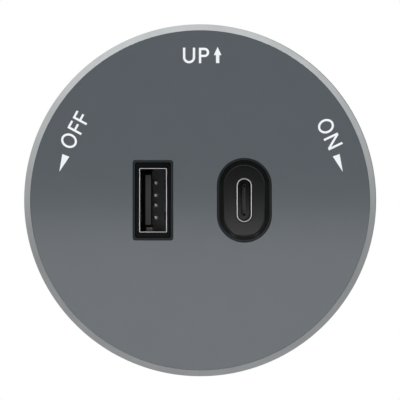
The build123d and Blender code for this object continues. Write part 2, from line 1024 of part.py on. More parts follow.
def make_earth_spring():
    length = earth_collar_front - earth_terminal_back
    spring = coil_spring(earth_spring_radius, length, earth_spring_turns)
    return Pos(0, earth_terminal_back, 0) * Rot(-90, 0, 0) * spring


pieces = {
    "faceplate": make_faceplate,
    "trim_ring": make_trim_ring,
    "body_shell": make_body_shell,
    "usb_a_bezel": make_usb_a_bezel,
    "usb_c_bezel": make_usb_c_bezel,
    "usb_a_shell": make_usb_a_shell,
    "usb_a_insulator": make_usb_a_insulator,
    "usb_a_contacts": make_usb_a_contacts,
    "usb_c_shell": make_usb_c_shell,
    "usb_c_insulator": make_usb_c_insulator,
    "usb_c_contacts": make_usb_c_contacts,
    "usb_c_mid_plate": make_usb_c_mid_plate,
    "port_board": make_port_board,
    "port_board_screws": make_port_board_screws,
    "power_board": make_power_board,
    "power_board_screws": make_power_board_screws,
    "header_block": make_header_block,
    "header_pins": make_header_pins,
    "transformer_core": make_transformer_core,
    "transformer_bobbin": make_transformer_bobbin,
    "transformer_coil": make_transformer_coil,
    "bulk_capacitors": make_bulk_capacitors,
    "output_capacitors": make_output_capacitors,
    "filter_capacitor": make_filter_capacitor,
    "choke_core": make_choke_core,
    "choke_coils": make_choke_coils,
    "fuse": make_fuse,
    "suppressor_capacitor": make_suppressor,
    "bridge_rectifier": make_bridge_rectifier,
    "control_chips": make_chips,
    "rear_cover": make_rear_cover,
    "cover_screws": make_cover_screws,
    "slot_guide": make_slot_guide,
    "spindle": make_spindle,
    "head_cap": make_head_cap,
    "head_cap_screws": make_head_cap_screws,
    "spindle_washer": make_spindle_washer,
    "spindle_nut": make_spindle_nut,
    "live_strip": make_live_strip,
    "neutral_strip": make_neutral_strip,
    "earth_terminal": make_earth_terminal,
    "live_contact": make_live_contact,
    "neutral_contact": make_neutral_contact,
    "earth_pin": make_earth_pin,
    "live_spring": make_live_spring,
    "neutral_spring": make_neutral_spring,
    "earth_spring": make_earth_spring,
}

os.makedirs("parts", exist_ok=True)
for name, make in pieces.items():
    export_step(make(), f"parts/{name}.step")
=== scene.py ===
import json
import math

import bpy
from mathutils import Matrix, Vector


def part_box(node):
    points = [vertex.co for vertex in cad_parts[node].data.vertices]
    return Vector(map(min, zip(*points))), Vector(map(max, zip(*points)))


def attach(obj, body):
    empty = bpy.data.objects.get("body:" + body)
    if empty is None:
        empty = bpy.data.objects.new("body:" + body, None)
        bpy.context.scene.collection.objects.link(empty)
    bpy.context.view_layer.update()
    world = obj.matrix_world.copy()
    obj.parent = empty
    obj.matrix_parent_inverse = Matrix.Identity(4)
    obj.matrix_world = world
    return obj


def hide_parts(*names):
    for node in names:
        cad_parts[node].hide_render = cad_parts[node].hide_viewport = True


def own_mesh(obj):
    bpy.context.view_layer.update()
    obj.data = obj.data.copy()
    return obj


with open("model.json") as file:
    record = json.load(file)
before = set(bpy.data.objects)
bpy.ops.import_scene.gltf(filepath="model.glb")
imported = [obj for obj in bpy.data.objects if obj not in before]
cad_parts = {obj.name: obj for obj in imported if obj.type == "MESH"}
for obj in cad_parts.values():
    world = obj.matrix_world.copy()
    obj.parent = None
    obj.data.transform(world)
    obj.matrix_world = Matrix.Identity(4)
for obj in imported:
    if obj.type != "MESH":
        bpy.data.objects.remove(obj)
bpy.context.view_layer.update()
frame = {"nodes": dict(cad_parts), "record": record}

# The dress of a round power track adapter with a USB-A and a USB-C outlet in its face.
# The face looks towards -Y with UP towards +Z. All is in metres, in the frame of the CAD.

MM = 0.001
QUARTER = math.pi / 2

# How near two places count as one, and what is merged in a new piece and in a CAD copy
HAIR = 0.01 * MM
WELD = 0.002 * MM
COPY_WELD = 0.001 * MM

# Steps round what is turned or wound
RING_STEPS = 192
CAN_STEPS = 48
SCREW_STEPS = 28
PIT_STEPS = 20
WIRE_STEPS = 20

# Places along the twist axis and across the face, as the solids have them
face_low, face_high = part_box("faceplate")
shell_a_low, shell_a_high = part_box("usb_a_shell")
shell_c_low, shell_c_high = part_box("usb_c_shell")
front = face_low.y
ledge = face_high.y
mouth = shell_a_low.y
port_a_x = (shell_a_low.x + shell_a_high.x) / 2
port_c_x = (shell_c_low.x + shell_c_high.x) / 2

body_of = {
    node: body for body, nodes in frame["record"]["behaviour"]["bodies"].items() for node in nodes
}


# Modelling


def take_up(piece):
    """Selects a piece alone."""
    for other in bpy.context.selected_objects:
        other.select_set(False)
    bpy.context.view_layer.objects.active = piece
    piece.select_set(True)


def open_piece(piece):
    take_up(piece)
    bpy.ops.object.mode_set(mode="EDIT")


def close_piece():
    bpy.ops.object.mode_set(mode="OBJECT")


def put_in_scene(name, data):
    placed = bpy.data.objects.new(name, data)
    bpy.context.scene.collection.objects.link(placed)
    return placed


def new_piece(name):
    """An empty mesh at the origin, open for modelling."""
    piece = put_in_scene(name, bpy.data.meshes.new(name))
    open_piece(piece)
    return piece


def curve_to_mesh(drawn):
    take_up(drawn)
    bpy.ops.object.convert(target="MESH")
    return bpy.context.view_layer.objects.active


def pick(piece, kind, test):
    """Opens a piece with the faces or edges selected whose middle passes a test."""
    close_piece()
    mesh = piece.data
    for group in (mesh.vertices, mesh.edges, mesh.polygons):
        group.foreach_set("select", [False] * len(group))
    if kind == "FACE":
        for face in mesh.polygons:
            face.select = test(face.center, face.normal)
    else:
        for edge in mesh.edges:
            ends = [mesh.vertices[i].co for i in edge.vertices]
            edge.select = test((ends[0] + ends[1]) / 2, ends[1] - ends[0])
    bpy.context.tool_settings.mesh_select_mode = (False, kind == "EDGE", kind == "FACE")
    bpy.ops.object.mode_set(mode="EDIT")


def faces_front(normal):
    return normal.y < -0.9


def leans_front(normal):
    return normal.y < -0.5


def pick_all():
    bpy.ops.mesh.select_all(action="SELECT")


def extrude(x, y, z):
    bpy.ops.mesh.extrude_region_move(TRANSFORM_OT_translate={"value": (x, y, z)})


def scale(x, y, z, about):
    bpy.ops.transform.resize(value=(x, y, z), center_override=about)


def seal():
    """Merges what meets, closes open ends, turns all faces outwards and closes the piece."""
    pick_all()
    bpy.ops.mesh.remove_doubles(threshold=WELD)
    pick_all()
    bpy.ops.mesh.fill_holes(sides=0)
    pick_all()
    bpy.ops.mesh.normals_make_consistent(inside=False)
    close_piece()


def turn_faces_out(piece):
    """Turns the faces of a rolled strip outwards, because sealing it leaves them inside out."""
    open_piece(piece)
    pick_all()
    bpy.ops.mesh.flip_normals()
    close_piece()


def block(name, x_low, x_high, y_low, y_high, z_low, z_high):
    """A block between two corners."""
    piece = new_piece(name)
    middle = ((x_low + x_high) / 2, (y_low + y_high) / 2, (z_low + z_high) / 2)
    bpy.ops.mesh.primitive_cube_add(size=1, location=middle)
    scale(x_high - x_low, y_high - y_low, z_high - z_low, middle)
    seal()
    return piece


def turn(corners, steps, x=0.0, z=0.0):
    """Turns a profile of (radius, place along Y) about an axis along Y, within the open piece."""
    radius, y = corners[0]
    bpy.ops.mesh.primitive_circle_add(
        vertices=steps, radius=radius, location=(x, y, z), rotation=(QUARTER, 0, 0)
    )
    for (radius, y), (next_radius, next_y) in zip(corners, corners[1:]):
        bpy.ops.mesh.extrude_edges_move(TRANSFORM_OT_translate={"value": (0, next_y - y, 0)})
        ratio = next_radius / radius
        scale(ratio, 1, ratio, (x, next_y, z))


def copy_to(places):
    """Copies the open piece's only shape from the first of its places to the others."""
    pick_all()
    for (x, z), (next_x, next_z) in zip(places, places[1:]):
        bpy.ops.mesh.duplicate_move(TRANSFORM_OT_translate={"value": (next_x - x, 0, next_z - z)})


def apply(piece, modifier):
    take_up(piece)
    bpy.ops.object.modifier_apply(modifier=modifier.name)


def combine(piece, other, operation):
    """Joins another shape to a piece, or cuts it out, and uses it up."""
    boolean = piece.modifiers.new(operation.lower(), "BOOLEAN")
    boolean.operation = operation
    boolean.solver = "EXACT"
    boolean.object = other
    apply(piece, boolean)
    bpy.data.objects.remove(other)


def ease(piece, width, sharper_than=30):
    """Rounds the sharp edges of a finished shape, if a width is given, and shades it smooth."""
    sharp = math.radians(sharper_than)
    if width:
        bevel = piece.modifiers.new("eased edges", "BEVEL")
        bevel.width = width
        bevel.segments = 2
        bevel.limit_method = "ANGLE"
        bevel.angle_limit = sharp
        bevel.use_clamp_overlap = True
        bevel.miter_outer = "MITER_ARC"
        apply(piece, bevel)
    take_up(piece)
    bpy.ops.object.shade_smooth_by_angle(angle=sharp)
    weighted = piece.modifiers.new("even shading", "WEIGHTED_NORMAL")
    weighted.keep_sharp = True
    apply(piece, weighted)


def merged_copy(node, name):
    """A copy of a CAD solid with its loose triangles merged into whole faces."""
    piece = put_in_scene(name, frame["nodes"][node].data.copy())
    open_piece(piece)
    bpy.ops.mesh.customdata_custom_splitnormals_clear()
    pick_all()
    bpy.ops.mesh.remove_doubles(threshold=COPY_WELD)
    pick_all()
    bpy.ops.mesh.dissolve_limited(angle_limit=math.radians(0.3))
    close_piece()
    return piece


def dress(piece, node, slot):
    """Gives a piece its finish and body, in place of its CAD solid."""
    set_finish(piece, finishes[slot])
    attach(piece, body_of[node])
    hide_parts(node)


def set_finish(piece, material, test=None):
    """Gives the whole piece a finish of its own, or only the faces that pass a test."""
    if test is None:
        piece.data.materials.clear()
        piece.data.materials.append(material)
        return
    piece.data.materials.append(material)
    for face in piece.data.polygons:
        if test(face.center, face.normal):
            face.material_index = len(piece.data.materials) - 1


# Finishes

# Where the Mix node keeps its two colours and the mixed one
MIX_FIRST, MIX_SECOND, MIX_RESULT = 6, 7, 2

CLOUD_SIZE = 5 * MM
GLOSS_SPREAD = 0.12
# Near black painted shade deep in the wells of the port frames
WELL_PAINTED_SHADE = (0.003, 0.0033, 0.0034)
# Grey of the painted highlight on a shell's lip, and of the painted shade inside the shell
LIP_PAINTED_HIGHLIGHT, INSIDE_PAINTED_SHADE = 0.95, 0.02


def new_material(name, metallic=0.0, shine=0.5):
    material = bpy.data.materials.new(name)
    material.use_nodes = True
    shader = material.node_tree.nodes["Principled BSDF"]
    shader.inputs["Metallic"].default_value = metallic
    shader.inputs["Specular IOR Level"].default_value = shine
    return material, material.node_tree, shader


def ramp(tree, source, start, end, low, high, smooth=False):
    """Maps one range of values onto another."""
    ranged = tree.nodes.new("ShaderNodeMapRange")
    ranged.interpolation_type = "SMOOTHSTEP" if smooth else "LINEAR"
    for name, value in (("From Min", start), ("From Max", end), ("To Min", low), ("To Max", high)):
        ranged.inputs[name].default_value = value
    tree.links.new(source, ranged.inputs["Value"])
    return ranged.outputs["Result"]


def spread(tree, cloudy, low, high):
    """Spreads a noise, most of which lies about its middle, between two values."""
    return ramp(tree, cloudy, 0.3, 0.7, low, high)


def worked_out(tree, operation, *values):
    """The result of one sum on the values of other nodes."""
    worked = tree.nodes.new("ShaderNodeMath")
    worked.operation = operation
    for value, socket in zip(values, worked.inputs):
        tree.links.new(value, socket)
    return worked.outputs["Value"]


def mixed(tree, share, first, second):
    """A colour that goes from one to another as a share goes from 0 to 1."""
    mix = tree.nodes.new("ShaderNodeMix")
    mix.data_type = "RGBA"
    mix.inputs[MIX_FIRST].default_value = (*first, 1)
    mix.inputs[MIX_SECOND].default_value = (*second, 1)
    tree.links.new(share, mix.inputs["Factor"])
    return mix.outputs[MIX_RESULT]


def on_object(tree):
    """The place on the object, so that a pattern stays fixed to it."""
    return tree.nodes.new("ShaderNodeTexCoord").outputs["Object"]


def axes_of(tree, place):
    parts = tree.nodes.new("ShaderNodeSeparateXYZ")
    tree.links.new(place, parts.inputs["Vector"])
    return parts.outputs


def flat_place(tree, x, y):
    place = tree.nodes.new("ShaderNodeCombineXYZ")
    tree.links.new(x, place.inputs["X"])
    tree.links.new(y, place.inputs["Y"])
    return place.outputs["Vector"]


def noise(tree, grain, place=None):
    """Cloudy variation of a given grain size in metres."""
    texture = tree.nodes.new("ShaderNodeTexNoise")
    texture.inputs["Scale"].default_value = 1 / grain
    texture.inputs["Detail"].default_value = 2.0
    tree.links.new(place or on_object(tree), texture.inputs["Vector"])
    return texture.outputs["Fac"]


def speckle(grain):
    """The even grain of moulded, cast, sprayed or plated surfaces."""
    return lambda tree: noise(tree, grain)


def stretched(grain, stretch):
    """Brushed lines or fibres: a grain that is drawn out along one direction."""

    def pattern(tree):
        mapping = tree.nodes.new("ShaderNodeMapping")
        mapping.inputs["Scale"].default_value = stretch
        tree.links.new(on_object(tree), mapping.inputs["Vector"])
        return noise(tree, grain, mapping.outputs["Vector"])

    return pattern


def lines_around(grain):
    """Turning marks that run round the twist axis."""

    def pattern(tree):
        axes = axes_of(tree, on_object(tree))
        radius = tree.nodes.new("ShaderNodeVectorMath")
        radius.operation = "LENGTH"
        tree.links.new(flat_place(tree, axes["X"], axes["Z"]), radius.inputs[0])
        return noise(tree, grain, flat_place(tree, radius.outputs["Value"], axes["Y"]))

    return pattern


def windings(axis, pitch):
    """Turns of wire or tape, side by side along an axis."""

    def pattern(tree):
        wave = tree.nodes.new("ShaderNodeTexWave")
        wave.bands_direction = axis
        wave.inputs["Scale"].default_value = math.pi / 10 / pitch
        wave.inputs["Distortion"].default_value = 0.3
        tree.links.new(on_object(tree), wave.inputs["Vector"])
        return wave.outputs["Fac"]

    return pattern


def finish(name, colour, roughness, pattern, relief=0.0, mottle=0.05, shine=0.5, metallic=0.0):
    """A surface with cloudy colour, and with gloss and relief that follow its pattern."""
    material, tree, shader = new_material(name, metallic, shine)
    cloudy = spread(tree, noise(tree, CLOUD_SIZE), 0, 1)
    darker = [min(1.0, part * (1 - mottle)) for part in colour]
    lighter = [min(1.0, part * (1 + mottle)) for part in colour]
    tree.links.new(mixed(tree, cloudy, darker, lighter), shader.inputs["Base Color"])
    height = pattern(tree)
    smoothest, roughest = roughness * (1 - GLOSS_SPREAD), roughness * (1 + GLOSS_SPREAD)
    tree.links.new(spread(tree, height, smoothest, roughest), shader.inputs["Roughness"])
    if relief:
        bump = tree.nodes.new("ShaderNodeBump")
        bump.inputs["Distance"].default_value = relief
        tree.links.new(height, bump.inputs["Height"])
        tree.links.new(bump.outputs["Normal"], shader.inputs["Normal"])
    return material


def metal(name, colour, roughness, pattern, relief=0.0):
    return finish(name, colour, roughness, pattern, relief, metallic=1.0)


def bezel_with_painted_light(name, rim, roughness, shine):
    """Black plastic, more matt along its rim, with a painted highlight there and painted shade
    inside.
    """
    material, tree, shader = new_material(name, shine=shine)
    depth = axes_of(tree, on_object(tree))["Y"]
    rim_end = front + 0.1 * MM
    # Painted highlight at the rim, fading to painted shade in the well behind it
    inwards = ramp(tree, depth, rim_end, front + 0.5 * MM, 0, 1)
    tree.links.new(mixed(tree, inwards, rim, WELL_PAINTED_SHADE), shader.inputs["Base Color"])
    dulled = ramp(tree, depth, front + 0.07 * MM, rim_end, 0.5, roughness)
    tree.links.new(dulled, shader.inputs["Roughness"])
    return material


def receptacle_steel(name, highlight_full_to, highlight_fades_from, ends):
    """Plated sheet with a painted highlight along the lip of its mouth on its long sides, and
    painted shade inside.

    Towards both ends of the mouth the painted highlight falls to a share of the long sides'.
    """
    material, tree, shader = new_material(name, metallic=1.0)
    axes = axes_of(tree, on_object(tree))
    height = worked_out(tree, "ABSOLUTE", axes["Z"])
    # The painted highlight is full along the long sides and fades towards the ends of the mouth
    rim = ramp(tree, height, highlight_full_to, highlight_fades_from, 1.0, ends)
    lip_start, lip_end = mouth + 0.004 * MM, mouth + 0.02 * MM
    # The lip's painted highlight turns into near black painted shade just inside the mouth
    inwards = ramp(tree, axes["Y"], lip_start, lip_end, LIP_PAINTED_HIGHLIGHT, INSIDE_PAINTED_SHADE)
    shade = worked_out(tree, "MULTIPLY", rim, inwards)
    grey = tree.nodes.new("ShaderNodeCombineColor")
    for channel in ("Red", "Green", "Blue"):
        tree.links.new(shade, grey.inputs[channel])
    tree.links.new(grey.outputs["Color"], shader.inputs["Base Color"])
    gloss = spread(tree, noise(tree, 0.3 * MM), 0.27, 0.36)
    tree.links.new(gloss, shader.inputs["Roughness"])
    return material


def painted_light_grade(name, reach, top, bottom, roughness=0.6, metallic=0.0):
    """A surface whose grey changes down a port that reaches as far up as down, as painted light and
    shade.
    """
    material, tree, shader = new_material(name, metallic, 0.02)
    shader.inputs["Roughness"].default_value = roughness
    downwards = ramp(tree, axes_of(tree, on_object(tree))["Z"], reach, -reach, 0, 1)
    tree.links.new(mixed(tree, downwards, [top] * 3, [bottom] * 3), shader.inputs["Base Color"])
    return material


fine_grain = speckle(0.18 * MM)
smooth_grain = speckle(0.6 * MM)
finishes = {
    "face_paint": finish(
        "satin dark grey paint", (0.0985, 0.113, 0.126), 0.12, smooth_grain, mottle=0.012
    ),
    "trim_aluminium": metal(
        "turned satin aluminium", (0.432, 0.451, 0.457), 0.36, lines_around(0.05 * MM), 0.0015 * MM
    ),
    "body_plastic": finish(
        "spark textured grey plastic", (0.05, 0.054, 0.058), 0.5, fine_grain, 0.012 * MM
    ),
    "bezel_plastic": bezel_with_painted_light("smooth black plastic", (0.009, 0.011, 0.0115), 0.13, 0.45),
    "port_steel": receptacle_steel("plated receptacle steel", 6.1 * MM, 6.35 * MM, 0.66),
    "port_insulator": finish("black insulator", (0.004, 0.004, 0.004), 0.15, smooth_grain),
    "gilt_contact": metal("pale gilt", (0.57, 0.545, 0.54), 0.7, smooth_grain),
    "board_laminate": finish(
        "green lacquered laminate", (0.02, 0.1, 0.045), 0.3, windings("X", 0.5 * MM), 0.004 * MM
    ),
    "screw_steel": metal("zinc plated steel", (0.58, 0.59, 0.61), 0.33, fine_grain, 0.002 * MM),
    "nut_brass": metal("turned brass", (0.78, 0.6, 0.3), 0.3, lines_around(0.06 * MM), 0.003 * MM),
    "part_black": finish("black epoxy", (0.012, 0.012, 0.014), 0.45, fine_grain, 0.006 * MM),
    "tinned_pin": metal("tinned copper", (0.75, 0.75, 0.73), 0.35, fine_grain, 0.002 * MM),
    "ferrite": finish("sintered ferrite", (0.03, 0.03, 0.032), 0.6, fine_grain, 0.015 * MM),
    "bobbin_plastic": finish(
        "natural bobbin plastic", (0.3, 0.27, 0.2), 0.5, fine_grain, 0.005 * MM
    ),
    "coil_tape": finish(
        "yellow winding tape", (0.8, 0.55, 0.08), 0.3, windings("Y", 1.1 * MM), 0.03 * MM
    ),
    "coil_wire": metal(
        "enamelled copper", (0.75, 0.33, 0.14), 0.3, windings("Y", 0.45 * MM), 0.12 * MM
    ),
    "capacitor_sleeve": finish("shrink sleeve", (0.02, 0.025, 0.05), 0.3, smooth_grain, 0.01 * MM),
    "film_case": finish("yellow case", (0.7, 0.5, 0.1), 0.35, fine_grain, 0.006 * MM),
    "ceramic_blue": finish("blue dipped ceramic", (0.04, 0.13, 0.4), 0.35, smooth_grain, 0.03 * MM),
    "guide_plastic": finish("light grey nylon", (0.3, 0.31, 0.32), 0.45, fine_grain, 0.008 * MM),
    "spindle_plastic": finish(
        "black glass filled nylon", (0.02, 0.02, 0.022), 0.42, fine_grain, 0.008 * MM
    ),
    "contact_brass": metal(
        "brushed brass", (0.83, 0.66, 0.34), 0.3, stretched(0.08 * MM, (0.1, 1, 1)), 0.002 * MM
    ),
    "spring_steel": metal("spring wire", (0.6, 0.6, 0.61), 0.3, fine_grain, 0.001 * MM),
}
# The USB-A frame and the USB-C rim carry the same painted highlight and painted shade
dark_bezel = bezel_with_painted_light("matt black plastic", (0.019, 0.023, 0.025), 0.3, 0.1)
round_rim = bezel_with_painted_light("round rim plastic", (0.009, 0.011, 0.0115), 0.13, 0.2)
# Lighter greys for the front-leaning faces of the USB-A insulator, as painted light
tongue_grey = finish("grey tongue", (0.046, 0.046, 0.045), 0.5, fine_grain, shine=0.1)
rib_grey = finish("grey rib", (0.067, 0.067, 0.066), 0.5, fine_grain, shine=0.1)
# Near black without shine, as painted shade on faces that turn away from the front
painted_shade_black = finish("unlit black", (0.02, 0.02, 0.02), 0.6, fine_grain, shine=0.02)
dark_tongue = finish("black tongue", (0.003, 0.003, 0.003), 0.15, smooth_grain, shine=0.4)
# Darker at the top and lighter at the bottom: painted shade from above and painted light from
# below; the round port's base is a dark mirror with the same painted gradient
base_grey = painted_light_grade("grey base", 6 * MM, 0.188, 0.315)
hollow_grey = painted_light_grade("grey hollow", 6 * MM, 0.09, 0.14)
round_base = painted_light_grade("round port base", 3.9 * MM, 0.015, 0.05, 0.15, 1.0)
round_port_steel = receptacle_steel("plated round port steel", 3.2 * MM, 4.3 * MM, 0.55)
# Steel darkened nearly to black, as painted shade on the plate deep in the USB-C tongue
plate_steel_painted_shade = metal("plate steel in painted shade", (0.05, 0.05, 0.05), 0.4, smooth_grain)
ink = finish("white print", (0.9, 0.93, 0.95), 0.5, smooth_grain, mottle=0.01)
can_top = metal("capacitor can", (0.7, 0.71, 0.72), 0.35, fine_grain, 0.003 * MM)


# The solids that keep their shape, with eased edges: slot and edge radius in millimetres
eased_nodes = {
    "body_shell": ("body_plastic", 0.1),
    "usb_c_contacts": ("gilt_contact", 0.0),
    "usb_c_mid_plate": ("port_steel", 0.02),
    "port_board": ("board_laminate", 0.05),
    "power_board": ("board_laminate", 0.05),
    "header_block": ("part_black", 0.08),
    "header_pins": ("tinned_pin", 0.05),
    "transformer_core": ("ferrite", 0.15),
    "transformer_bobbin": ("bobbin_plastic", 0.1),
    "transformer_coil": ("coil_tape", 0.3),
    "filter_capacitor": ("film_case", 0.2),
    "suppressor_capacitor": ("ceramic_blue", 0.5),
    "choke_core": ("ferrite", 0.15),
    "choke_coils": ("coil_wire", 0.2),
    "fuse": ("part_black", 0.2),
    "bridge_rectifier": ("part_black", 0.15),
    "control_chips": ("part_black", 0.08),
    "rear_cover": ("body_plastic", 0.1),
    "slot_guide": ("guide_plastic", 0.12),
    "spindle": ("spindle_plastic", 0.12),
    "head_cap": ("spindle_plastic", 0.08),
    "spindle_washer": ("screw_steel", 0.06),
    "spindle_nut": ("nut_brass", 0.15),
    "live_strip": ("contact_brass", 0.05),
    "neutral_strip": ("contact_brass", 0.05),
    "earth_terminal": ("contact_brass", 0.08),
    "live_contact": ("contact_brass", 0.15),
    "neutral_contact": ("contact_brass", 0.15),
    "earth_pin": ("contact_brass", 0.15),
}

for node, (slot, radius) in eased_nodes.items():
    piece = merged_copy(node, node + "_eased")
    ease(piece, radius * MM)
    dress(piece, node, slot)


# The receptacles

# The thickness of both shells
SHEET = 0.3 * MM

# The two edges of a shell's mouth, as ranges of depth in its sheet from the outside inwards
OUTER_EDGE = (-0.1, 0.1)
INNER_EDGE = (0.9, 1.1)


def make_shell(piece, node, corner, roundings):
    """Rounds the edges of a shell's mouth, as a lead for the plug.

    Each rounding is a radius and the edges it is for. Corner is the radius of the shell's corners.
    """
    low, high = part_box(node)
    middle = (low + high) / 2
    half_x, half_z = (high.x - low.x) / 2 - corner, (high.z - low.z) / 2 - corner

    def depth_in_sheet(place):
        x, z = abs(place.x - middle.x) - half_x, abs(place.z - middle.z) - half_z
        return corner - math.hypot(max(x, 0), max(z, 0)) - min(max(x, z), 0)

    for radius, edges in roundings:

        def on_edge(place, way):
            share = depth_in_sheet(place) / SHEET
            return place.y < low.y + HAIR and any(start <= share <= end for start, end in edges)

        pick(piece, "EDGE", on_edge)
        bpy.ops.mesh.bevel(offset=radius, segments=4)
        close_piece()
    ease(piece, 0)
    dress(piece, node, "port_steel")


def tighten_corners(piece, low, high, outwards, ratio):
    """Folds the rounded corners of a rectangular tube or hole more tightly.

    Each corner shrinks by a ratio towards the sharp corner that it stands for.
    """
    for x, out_x in ((low.x, -1), (high.x, 1)):
        for z, out_z in ((low.z, -1), (high.z, 1)):

            def in_corner(middle, normal):
                near = max(abs(middle.x - x), abs(middle.z - z)) < 0.5 * MM
                slanted = min(abs(normal.x), abs(normal.z)) > 0.02
                faces_out = out_x * normal.x + out_z * normal.z > 0
                return near and slanted and faces_out == outwards and middle.y > mouth

            pick(piece, "FACE", in_corner)
            scale(ratio, 1, ratio, (x, mouth, z))
            close_piece()


def make_usb_a_shell():
    """The shell of the solid, folded so tightly that the corners of its mouth look square."""
    shell = merged_copy("usb_a_shell", "usb_a_shell_folded")
    sheet = Vector((SHEET, 0, SHEET))
    tighten_corners(shell, shell_a_low, shell_a_high, True, 0.45)
    tighten_corners(shell, shell_a_low + sheet, shell_a_high - sheet, False, 0.2)
    roundings = ((0.15 * MM, (INNER_EDGE,)), (0.1 * MM, (OUTER_EDGE,)))
    make_shell(shell, "usb_a_shell", 0.2 * MM, roundings)


def make_usb_a_bezel():
    """The frame of the solid, with its hole squared to the folded shell."""
    bezel = merged_copy("usb_a_bezel", "usb_a_bezel_eased")
    gap = Vector((0.05 * MM, 0, 0.05 * MM))
    tighten_corners(bezel, shell_a_low - gap, shell_a_high + gap, False, 0.55)
    ease(bezel, 0.06 * MM)
    dress(bezel, "usb_a_bezel", "bezel_plastic")
    set_finish(bezel, dark_bezel)


def draw_in_round_wall(piece, outwards):
    """Brings the upright wall at the edge of the round port's frame a little closer to the port.

    Outwards is the frame's own wall, and otherwise it is the wall of the hole that the frame fills.
    """
    half_x, half_z, closer = 5.6 * MM, 8.6 * MM, 0.085 * MM

    def on_wall(middle, normal):
        x, z = middle.x - port_c_x, middle.z
        upright = abs(normal.y) < 0.1 and middle.y < ledge
        near = max(abs(x) - half_x, abs(z) - half_z) < 0.1 * MM
        return upright and near and (x * normal.x + z * normal.z > 0) == outwards

    pick(piece, "FACE", on_wall)
    scale(1 - closer / half_x, 1, 1 - closer / half_z, (port_c_x, front, 0))
    close_piece()


def make_usb_c_bezel():
    """The frame of the solid, brought in as the disc's hole is, with a rim that shines less."""
    bezel = merged_copy("usb_c_bezel", "usb_c_bezel_eased")
    draw_in_round_wall(bezel, True)
    ease(bezel, 0.1 * MM)
    dress(bezel, "usb_c_bezel", "bezel_plastic")
    rim_back = front + 0.07 * MM
    set_finish(bezel, round_rim, lambda middle, normal: faces_front(normal) and middle.y < rim_back)


def make_usb_c_shell():
    """The shell of the solid, with the edges of its mouth rounded to a thin lip."""
    shell = merged_copy("usb_c_shell", "usb_c_shell_drawn")
    make_shell(shell, "usb_c_shell", 1.58 * MM, ((0.125 * MM, (OUTER_EDGE, INNER_EDGE)),))
    set_finish(shell, round_port_steel)


def make_usb_a_insulator():
    """The base, deeply hollowed beside the tongue, the tongue with its long lead, and a rib."""
    low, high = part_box("usb_a_insulator")
    base_front = high.y - 3.6 * MM
    hollow_floor = high.y - 0.8 * MM
    root = high.y - 0.4 * MM
    split = port_a_x - 0.3 * MM
    half_tongue = 5.55 * MM
    lead = 1.3 * MM
    tip_width, tip_height = 0.696, 0.903
    tip_middle = (split - 0.427 * MM, low.y, 0.72 * MM)

    base = block("usb_a_insulator_moulded", low.x, high.x, base_front, high.y, low.z, high.z)
    hollow = block(
        "hollow", low.x - MM, split, base_front - MM, hollow_floor, low.z - MM, high.z + MM
    )
    combine(base, hollow, "DIFFERENCE")
    tongue = block("tongue", split - 1.6 * MM, split, low.y + lead, root, -half_tongue, half_tongue)
    pick(tongue, "FACE", lambda middle, normal: faces_front(normal))
    extrude(0, -lead, 0)
    scale(tip_width, 1, tip_height, tip_middle)
    seal()
    combine(base, tongue, "UNION")
    rib_x = split - 1.1 * MM, split + 0.1 * MM
    rib = block("rib", *rib_x, low.y + 0.3 * MM, root, low.z, low.z + 0.74 * MM)
    combine(base, rib, "UNION")
    ease(base, 0.04 * MM)
    dress(base, "usb_a_insulator", "port_insulator")

    # Painted light and shade: faces that turn from the front get near black painted shade, faces
    # that lean to the front get lighter greys as painted light, darker in the hollow as painted
    # shade
    set_finish(base, painted_shade_black)
    for material, seen in (
        (tongue_grey, lambda place: place.y < low.y + 0.1 * MM),
        (rib_grey, lambda place: place.x < split and place.z < -5.4 * MM),
        (hollow_grey, lambda place: place.x < split and place.y > base_front),
        (base_grey, lambda place: place.x > split + 0.05 * MM),
    ):
        set_finish(base, material, lambda middle, normal: leans_front(normal) and seen(middle))


def make_usb_a_contacts():
    """Four strips that lean away from the tongue, each with its free end rolled into a bump."""
    low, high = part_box("usb_a_contacts")
    rows = (-3.5 * MM, -1.0 * MM, 1.0 * MM, 3.5 * MM)
    wall = 0.25 * MM
    width = 0.58 * MM
    roll = 0.3 * MM
    roll_x = high.x - 0.35 * MM
    roll_y = low.y + roll
    first_z = low.z + 0.35 * MM
    root_x = low.x + wall / 2
    lean = roll_x + roll - wall / 2 - root_x

    def on_rolled_side(place, way):
        along_side = abs(way.z) < HAIR and abs(abs(place.z - first_z) - width / 2) < HAIR
        outside = math.hypot(place.x - roll_x, place.y - roll_y) > roll - wall / 2
        return along_side and outside and place.y < roll_y

    piece = new_piece("usb_a_contacts_rolled")
    root = (root_x, high.y, first_z)
    bpy.ops.mesh.primitive_plane_add(size=1, location=root, rotation=(QUARTER, 0, 0))
    scale(wall, 1, width, root)
    extrude(lean, roll_y - high.y, 0)
    bpy.ops.mesh.spin(steps=10, angle=-math.pi, center=(roll_x, roll_y, first_z), axis=(0, 0, 1))
    pick(piece, "EDGE", on_rolled_side)
    bpy.ops.mesh.bevel(offset=0.2 * MM, segments=4)
    copy_to([(0, z) for z in rows])
    seal()
    turn_faces_out(piece)
    ease(piece, 0)
    dress(piece, "usb_a_contacts", "gilt_contact")


